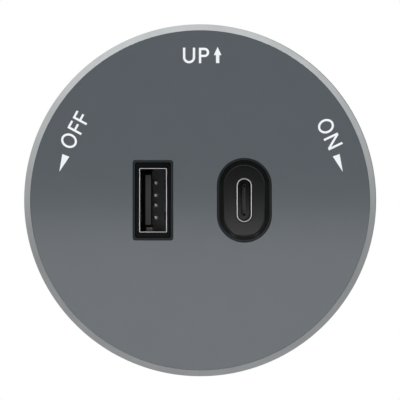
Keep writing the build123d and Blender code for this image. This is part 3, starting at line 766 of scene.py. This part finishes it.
def make_usb_c_insulator():
    """The solid's tongue, with a small pit beyond each end of its plate."""
    piece = merged_copy("usb_c_insulator", "usb_c_insulator_moulded")
    plate_low, plate_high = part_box("usb_c_mid_plate")
    pit_floor = plate_low.y + 0.9 * MM
    pits = new_piece("pits")
    places = [(port_c_x, plate_low.z - 0.4 * MM), (port_c_x, plate_high.z + 0.45 * MM)]
    corners = [
        (0.24 * MM, plate_low.y - MM),
        (0.24 * MM, plate_low.y + 0.1 * MM),
        (0.12 * MM, pit_floor),
    ]
    turn(corners, PIT_STEPS, *places[0])
    copy_to(places)
    seal()
    combine(piece, pits, "DIFFERENCE")
    ease(piece, 0.012 * MM)
    dress(piece, "usb_c_insulator", "port_insulator")

    def unlit(middle, normal):
        return not faces_front(normal) or abs(middle.y - pit_floor) < 0.05 * MM

    def on_base(middle, normal):
        return faces_front(normal) and middle.y > plate_low.y + MM

    def on_tongue(middle, normal):
        return faces_front(normal) and middle.y < plate_low.y + 0.3 * MM

    # Faces that turn from the front and the pit floors get near black painted shade, and the base
    # its painted gradient
    set_finish(piece, painted_shade_black, unlit)
    set_finish(piece, round_base, on_base)
    set_finish(piece, dark_tongue, on_tongue)


make_usb_a_shell()
make_usb_a_bezel()
make_usb_c_bezel()
make_usb_c_shell()
make_usb_a_insulator()
make_usb_a_contacts()
make_usb_c_insulator()
# The plate deep in the port gets the darkened steel, as painted shade
set_finish(bpy.data.objects["usb_c_mid_plate_eased"], plate_steel_painted_shade)
# The front ends of the USB-C contacts get near black painted shade
set_finish(
    bpy.data.objects["usb_c_contacts_eased"],
    painted_shade_black,
    lambda middle, normal: leans_front(normal),
)


# Screws, springs and cans

# Profiles of screw heads, as radius and depth below the face
FLAT_HEAD = [(0.6 * MM, 0), (2.2 * MM, 0), (2.3 * MM, 0.12 * MM), (1.23 * MM, 1.15 * MM)]
SMALL_HEAD = [(0.3 * MM, 0), (1.28 * MM, 0), (1.35 * MM, 0.06 * MM), (0.73 * MM, 0.66 * MM)]
PAN_HEAD = [
    (0.5 * MM, 0),
    (1.45 * MM, 0.08 * MM),
    (1.8 * MM, 0.5 * MM),
    (1.85 * MM, 1.2 * MM),
    (0.98 * MM, 1.2 * MM),
]


# The depth of a thread, as a share of its pitch
THREAD_DEPTH = 0.45


def thread(radius, start, end, pitch):
    """The zigzag of a thread between two places along the axis, and its blunt tip."""
    turns = round(abs(end - start) / pitch)
    step = (end - start) / turns
    root = radius - THREAD_DEPTH * pitch
    corners = []
    for number in range(turns):
        corners += [(root, start + (number + 0.1) * step), (radius, start + (number + 0.6) * step)]
    return corners + [(root, end - 0.1 * step), (0.6 * root, end)]


def circle_places(radius, degrees):
    angles = [math.radians(angle) for angle in degrees]
    return [(radius * math.cos(angle), radius * math.sin(angle)) for angle in angles]


def make_screws(node, places, toward, head, neck, shank, pitch):
    """Screws with a cross recess and a thread, which go in towards the front (-1) or back (1)."""
    low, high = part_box(node)
    face = high.y if toward < 0 else low.y
    piece = new_piece(node + "_threaded")
    x, z = places[0]
    along_y = [(radius, face + toward * depth) for radius, depth in head]
    threaded = thread(shank, face + toward * neck, face + toward * (high.y - low.y), pitch)
    turn(along_y + threaded, SCREW_STEPS, x, z)
    seal()
    head_radius = head[-2][0]
    reach, half_slot = 0.62 * head_radius, 0.16 * head_radius
    recess = sorted((face - toward * MM, face + toward * 0.55 * neck))
    for wide, tall in ((reach, half_slot), (half_slot, reach)):
        driver = block("driver", x - wide, x + wide, *recess, z - tall, z + tall)
        combine(piece, driver, "DIFFERENCE")
    open_piece(piece)
    copy_to(places)
    close_piece()
    ease(piece, 0, sharper_than=40)
    dress(piece, node, "screw_steel")


def make_spring(node, way):
    """A spring of round wire with closed ends that fills its solid's box.
    """
    axis = max(range(3), key=lambda number: abs(way[number]))
    across = [number for number in range(3) if number != axis]
    low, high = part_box(node)
    middle = (low + high) / 2
    size = high - low
    wire = 0.4 * MM
    length = size[axis] - wire
    radius = (size[across[0]] - wire) / 2
    open_turns, closed_turns = 5, 2
    total = (open_turns + closed_turns) * WIRE_STEPS

    curve = bpy.data.curves.new(node + "_wire", "CURVE")
    curve.dimensions = "3D"
    curve.bevel_depth = wire / 2
    curve.bevel_resolution = 2
    curve.use_fill_caps = True
    spline = curve.splines.new("POLY")
    spline.points.add(total)
    for step, point in enumerate(spline.points):
        turned = math.tau * step / WIRE_STEPS
        first_end = min(1.0, step / WIRE_STEPS)
        last_end = max(0.0, (step - total) / WIRE_STEPS + 1)
        share = min(1.0, max(0.0, (step - WIRE_STEPS) / (total - 2 * WIRE_STEPS)))
        risen = wire * (first_end + last_end) + share * (length - 2 * wire)
        place = [0.0, 0.0, 0.0]
        place[axis] = middle[axis] - length / 2 + risen
        place[across[0]] = middle[across[0]] + radius * math.cos(turned)
        place[across[1]] = middle[across[1]] + radius * math.sin(turned)
        point.co = (*place, 1)
    spring = curve_to_mesh(put_in_scene(node + "_wound", curve))
    open_piece(spring)
    seal()
    ease(spring, 0, sharper_than=60)
    dress(spring, node, "spring_steel")
    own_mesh(spring)


def make_cans(node, radius, places, sleeve_lip):
    """Capacitors with a crimped sleeve that folds over the edge of a bare top."""
    low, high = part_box(node)
    piece = new_piece(node + "_sleeved")
    corners = [
        (radius - 0.6 * MM, high.y),
        (radius - 0.15 * MM, high.y - 0.1 * MM),
        (radius, high.y - 0.4 * MM),
        (radius, high.y - 1.2 * MM),
        (radius - 0.35 * MM, high.y - 1.7 * MM),
        (radius, high.y - 2.2 * MM),
        (radius, low.y + 0.4 * MM),
        (radius - 0.12 * MM, low.y + 0.12 * MM),
        (radius - 0.4 * MM, low.y),
        (radius - sleeve_lip, low.y),
        (radius - sleeve_lip - 0.1 * MM, low.y + 0.12 * MM),
    ]
    turn(corners, CAN_STEPS, *places[0])
    copy_to(places)
    seal()
    ease(piece, 0, sharper_than=40)
    dress(piece, node, "capacitor_sleeve")
    top = low.y + 0.05 * MM
    set_finish(piece, can_top, lambda middle, normal: faces_front(normal) and middle.y > top)


cover_places = circle_places(29.5 * MM, (35, 145, 270))
cap_places = [(-8.0 * MM, -4.3 * MM), (8.0 * MM, 4.3 * MM)]
port_places = [(-18.6 * MM, 0), (18.6 * MM, 0)]
power_places = circle_places(27.4 * MM, (72, 212, 328))

# The way in, the head, and then the depth of the neck, the shank's radius and the pitch
for node, places, toward, head, *millimetres in (
    ("cover_screws", cover_places, -1, FLAT_HEAD, 1.3, 1.23, 0.8),
    ("head_cap_screws", cap_places, -1, SMALL_HEAD, 0.75, 0.73, 0.45),
    ("port_board_screws", port_places, -1, PAN_HEAD, 1.3, 0.96, 0.6),
    ("power_board_screws", power_places, 1, PAN_HEAD, 1.3, 0.96, 0.6),
):
    make_screws(node, places, toward, head, *(size * MM for size in millimetres))

make_spring("live_spring", (1, 0, 0))
make_spring("neutral_spring", (-1, 0, 0))
make_spring("earth_spring", (0, 1, 0))

bulk_places = [(-12.9 * MM, 17.2 * MM), (12.9 * MM, 17.2 * MM)]
make_cans("bulk_capacitors", 4.0 * MM, bulk_places, 0.9 * MM)
output_low, output_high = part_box("output_capacitors")
output_x = (output_low.x + output_high.x) / 2
output_places = [(output_x, -3.7 * MM), (output_x, 3.7 * MM)]
make_cans("output_capacitors", 3.15 * MM, output_places, 0.7 * MM)


# The face

PRINT_RISE = 0.02 * MM


def make_face_disc():
    """The painted disc, whose front lies lower than the ring's by the thickness of the print."""
    disc = merged_copy("faceplate", "face_disc")
    on_front = front + PRINT_RISE / 2
    pick(disc, "FACE", lambda middle, normal: faces_front(normal) and middle.y < on_front)
    bpy.ops.transform.translate(value=(0, PRINT_RISE, 0))
    close_piece()
    draw_in_round_wall(disc, False)
    ease(disc, 0.04 * MM)
    dress(disc, "faceplate", "face_paint")


def make_ring():
    """The turned ring round the disc, with a broad bevel that runs out softly at its edge."""
    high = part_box("trim_ring")[1]
    radius, back = high.x, high.y
    bevel = 1.3 * MM
    bore = radius - bevel
    inner = radius - 2.4 * MM

    def on_outer_edge(place, way):
        outside = math.hypot(place.x, place.z) > radius - 0.1 * MM
        return outside and abs(place.y - front - bevel) < HAIR

    ring = new_piece("ring_turned")
    corners = [
        (bore, ledge),
        (bore, front),
        (radius, front + bevel),
        (radius, back),
        (inner, back),
        (inner, ledge),
    ]
    turn(corners + corners[:1], RING_STEPS)
    seal()
    pick(ring, "EDGE", on_outer_edge)
    bpy.ops.mesh.bevel(offset=0.22 * MM, segments=5)
    close_piece()
    ease(ring, 0.06 * MM)
    dress(ring, "trim_ring", "trim_aluminium")


make_face_disc()
make_ring()


# The print, in millimetres from the middle of the face

CAP_HEIGHT = 3.1
UP_STROKE = 0.47
STROKE = 0.44


def arc(x, y, radius_x, radius_y, start, end, steps=20):
    """Points along part of an ellipse, in degrees."""
    angles = [math.radians(start + (end - start) * step / steps) for step in range(steps + 1)]
    return [(x + radius_x * math.cos(angle), y + radius_y * math.sin(angle)) for angle in angles]


def letter_u(width, drop):
    bend = width / 2
    hollow = bend - UP_STROKE
    outer = arc(bend, bend - drop, bend, bend, 180, 360)
    inner = arc(bend, bend - drop, hollow, hollow, 360, 180)
    right = [(width, CAP_HEIGHT), (width - UP_STROKE, CAP_HEIGHT)]
    return [[(0, CAP_HEIGHT), *outer, *right, *inner, (UP_STROKE, CAP_HEIGHT)]]


def letter_p(width, bowl):
    radius = bowl / 2
    middle = CAP_HEIGHT - radius
    outer = arc(width - radius, middle, radius, radius, -90, 90)
    hollow = radius - UP_STROKE
    inner = arc(width - radius, middle, hollow, hollow, -90, 90)
    stem = [(0, 0), (UP_STROKE, 0), (UP_STROKE, CAP_HEIGHT - bowl)]
    return [
        [*stem, *outer, (0, CAP_HEIGHT)],
        [(UP_STROKE, middle - hollow), *inner, (UP_STROKE, middle + hollow)],
    ]


def letter_o(width, height):
    # A whole turn less its last step, because the outline closes itself
    around = (0, 351, 39)
    return [
        arc(0, 0, width / 2, height / 2, *around),
        arc(0, 0, width / 2 - STROKE, height / 2 - STROKE, *around),
    ]


def letter_f(width, arm_height, arm_width):
    return [
        [
            (0, 0),
            (STROKE, 0),
            (STROKE, arm_height),
            (arm_width, arm_height),
            (arm_width, arm_height + STROKE),
            (STROKE, arm_height + STROKE),
            (STROKE, CAP_HEIGHT - STROKE),
            (width, CAP_HEIGHT - STROKE),
            (width, CAP_HEIGHT),
            (0, CAP_HEIGHT),
        ]
    ]


def letter_n(width):
    slope = 1.12 * STROKE
    notch = 1.45 * slope
    return [
        [
            (0, 0),
            (STROKE, 0),
            (STROKE, CAP_HEIGHT - notch),
            (width - slope, 0),
            (width, 0),
            (width, CAP_HEIGHT),
            (width - STROKE, CAP_HEIGHT),
            (width - STROKE, notch),
            (slope, CAP_HEIGHT),
            (0, CAP_HEIGHT),
        ]
    ]


def make_mark(name, outlines, along=0.0, across=0.0, angle=0.0):
    """Prints flat outlines at a place along and across lettering that is turned by an angle."""
    curve = bpy.data.curves.new(name, "CURVE")
    curve.dimensions = "2D"
    curve.fill_mode = "BOTH"
    curve.extrude = PRINT_RISE / 2
    for outline in outlines:
        spline = curve.splines.new("POLY")
        spline.points.add(len(outline) - 1)
        for point, (u, v) in zip(spline.points, outline):
            point.co = (u * MM, v * MM, 0, 1)
        spline.use_cyclic_u = True
    mark = curve_to_mesh(put_in_scene(name, curve))
    turned = math.radians(angle)
    x = along * math.cos(turned) - across * math.sin(turned)
    z = along * math.sin(turned) + across * math.cos(turned)
    place = Matrix.Translation((x * MM, front + PRINT_RISE / 2, z * MM))
    stand = Matrix.Rotation(-turned, 4, "Y") @ Matrix.Rotation(QUARTER, 4, "X")
    mark.matrix_world = place @ stand
    take_up(mark)
    bpy.ops.object.transform_apply(location=True, rotation=True, scale=True)
    open_piece(mark)
    seal()
    set_finish(mark, ink)
    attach(mark, "housing")


def make_up_marks():
    """UP and its arrow, which stand upright."""
    foot = 27.6
    barb, tip = 29.19, 30.85
    right = [(0.34, foot), (0.34, barb), (0.77, barb)]
    left = [(-x, z) for x, z in reversed(right)]
    make_mark("print_up_u", letter_u(2.46, 0.05), -3.46, foot)
    make_mark("print_up_p", letter_p(2.06, 1.88), -0.25, 27.58)
    make_mark("print_up_arrow", [[left[-1], *right, (0, tip), *left[:-1]]], 3.52)


def make_off_marks():
    """OFF, which follows the ring on the left, and its pointer."""
    angle, middle = 61.7, 28.9
    foot = middle - CAP_HEIGHT / 2
    make_mark("print_off_o", letter_o(2.85, 3.27), -1.955, middle, angle)
    make_mark("print_off_f1", letter_f(1.7, 1.32, 1.66), 0.165, foot, angle)
    make_mark("print_off_f2", letter_f(1.7, 1.32, 1.66), 2.425, foot, angle)
    make_mark("print_off_pointer", [[(-27.72, 9.31), (-28.34, 5.73), (-26.31, 8.75)]])


def make_on_marks():
    """ON, which follows the ring on the right, and its pointer."""
    angle = -64.4
    foot = 29.25 - CAP_HEIGHT / 2
    make_mark("print_on_o", letter_o(2.85, 3.27), -2.495, 29.265, angle)
    make_mark("print_on_n", letter_n(2.54), -0.375, foot, angle)
    make_mark("print_on_pointer", [[(26.68, 8.81), (28.71, 5.71), (28.06, 9.31)]])


make_up_marks()
make_off_marks()
make_on_marks()


# Floor, light and camera

# The field is what the camera sees across, a little behind the front of the face
LENS = 300
SENSOR = 36
FIELD = 80.55 * MM
FIELD_DEPTH = 0.6 * MM
AIM_X, AIM_Z = -0.028 * MM, 0.05 * MM

# How bright the room is above, below and in front, and how much of that is left in its corner
ROOM_ABOVE = 1.21
ROOM_BELOW = 0.635
ROOM_FRONT = 0.1
ROOM_CORNER = 0.05

# The card that makes the pale band across the lower face
CARD_AWAY = 0.3
CARD_WIDTH = 0.16
CARD_HEIGHT = 0.07
CARD_TOP = -5.0 * MM


def make_floor():
    bpy.ops.mesh.primitive_plane_add(size=14, location=(0, 0, -0.6))
    floor = bpy.context.view_layer.objects.active
    floor.name = "floor"
    pale = finish("pale floor", (0.52, 0.52, 0.52), 0.8, speckle(2 * MM), mottle=0.01)
    floor.data.materials.append(pale)


def make_light(name, place, aim, width, height, radiance):
    """A soft rectangular light that the camera doesn't see."""
    light = bpy.data.lights.new(name, "AREA")
    light.shape = "RECTANGLE"
    light.size = width
    light.size_y = height
    light.energy = radiance * math.pi * width * height
    lamp = put_in_scene(name, light)
    lamp.location = place
    lamp.rotation_euler = (Vector(aim) - Vector(place)).to_track_quat("-Z", "Y").to_euler()
    lamp.visible_camera = False


def make_lights():
    """The card in front, and a lamp above on each side."""
    card_z = CARD_TOP - CARD_HEIGHT / 2
    card_place, card_aim = (0, front - CARD_AWAY, card_z), (0, front, card_z)
    make_light("front_card", card_place, card_aim, CARD_WIDTH, CARD_HEIGHT, 1.62)
    for number, side in ((1, -1), (2, 1)):
        make_light(f"key_light_{number}", (0.5 * side, -0.9, 0.85), (0, front, 0), 0.6, 0.6, 3.3)


def make_surroundings():
    """A room that is bright above, greyer below and dark in front, and white to the eye."""
    world = bpy.data.worlds.new("studio")
    bpy.context.scene.world = world
    world.use_nodes = True
    tree = world.node_tree
    way = axes_of(tree, tree.nodes.new("ShaderNodeTexCoord").outputs["Generated"])
    # Each ramp starts and ends at a direction, as its share of straight up, right or back
    height = ramp(tree, way["Z"], -0.35, 0.9, ROOM_BELOW, ROOM_ABOVE, smooth=True)
    aside = ramp(tree, way["Y"], -0.9, -0.72, 0.0, 1.0, smooth=True)
    behind = ramp(tree, way["Y"], 0.1, 0.5, 0.0, 1.0, smooth=True)
    right = ramp(tree, way["X"], 0.1, 0.55, 0.0, 1.0, smooth=True)
    corner = ramp(tree, worked_out(tree, "MULTIPLY", behind, right), 0, 1, 1.0, ROOM_CORNER)
    strength = tree.nodes.new("ShaderNodeMix")
    strength.inputs["A"].default_value = ROOM_FRONT
    tree.links.new(aside, strength.inputs["Factor"])
    tree.links.new(worked_out(tree, "MULTIPLY", height, corner), strength.inputs["B"])
    room = tree.nodes["Background"]
    tree.links.new(strength.outputs["Result"], room.inputs["Strength"])
    seen = tree.nodes.new("ShaderNodeBackground")
    seen.inputs["Strength"].default_value = 1.0
    for background in (room, seen):
        background.inputs["Color"].default_value = (1, 1, 1, 1)
    ray = tree.nodes.new("ShaderNodeLightPath")
    mix = tree.nodes.new("ShaderNodeMixShader")
    tree.links.new(ray.outputs["Is Camera Ray"], mix.inputs["Fac"])
    tree.links.new(room.outputs["Background"], mix.inputs[1])
    tree.links.new(seen.outputs["Background"], mix.inputs[2])
    tree.links.new(mix.outputs["Shader"], tree.nodes["World Output"].inputs["Surface"])


def make_camera():
    """A long lens square on to the face, as the photograph has no perspective."""
    camera = bpy.data.cameras.new("camera")
    camera.lens = LENS
    camera.sensor_width = SENSOR
    camera.dof.use_dof = False
    camera.clip_start = 0.01
    camera.clip_end = 20
    holder = put_in_scene("camera", camera)
    holder.location = (AIM_X, front + FIELD_DEPTH - FIELD * LENS / SENSOR, AIM_Z)
    holder.rotation_euler = (QUARTER, 0, 0)
    bpy.context.scene.camera = holder


make_floor()
make_surroundings()
make_lights()
make_camera()
bpy.context.scene.view_settings.view_transform = "Standard"
bpy.context.scene.view_settings.look = "None"
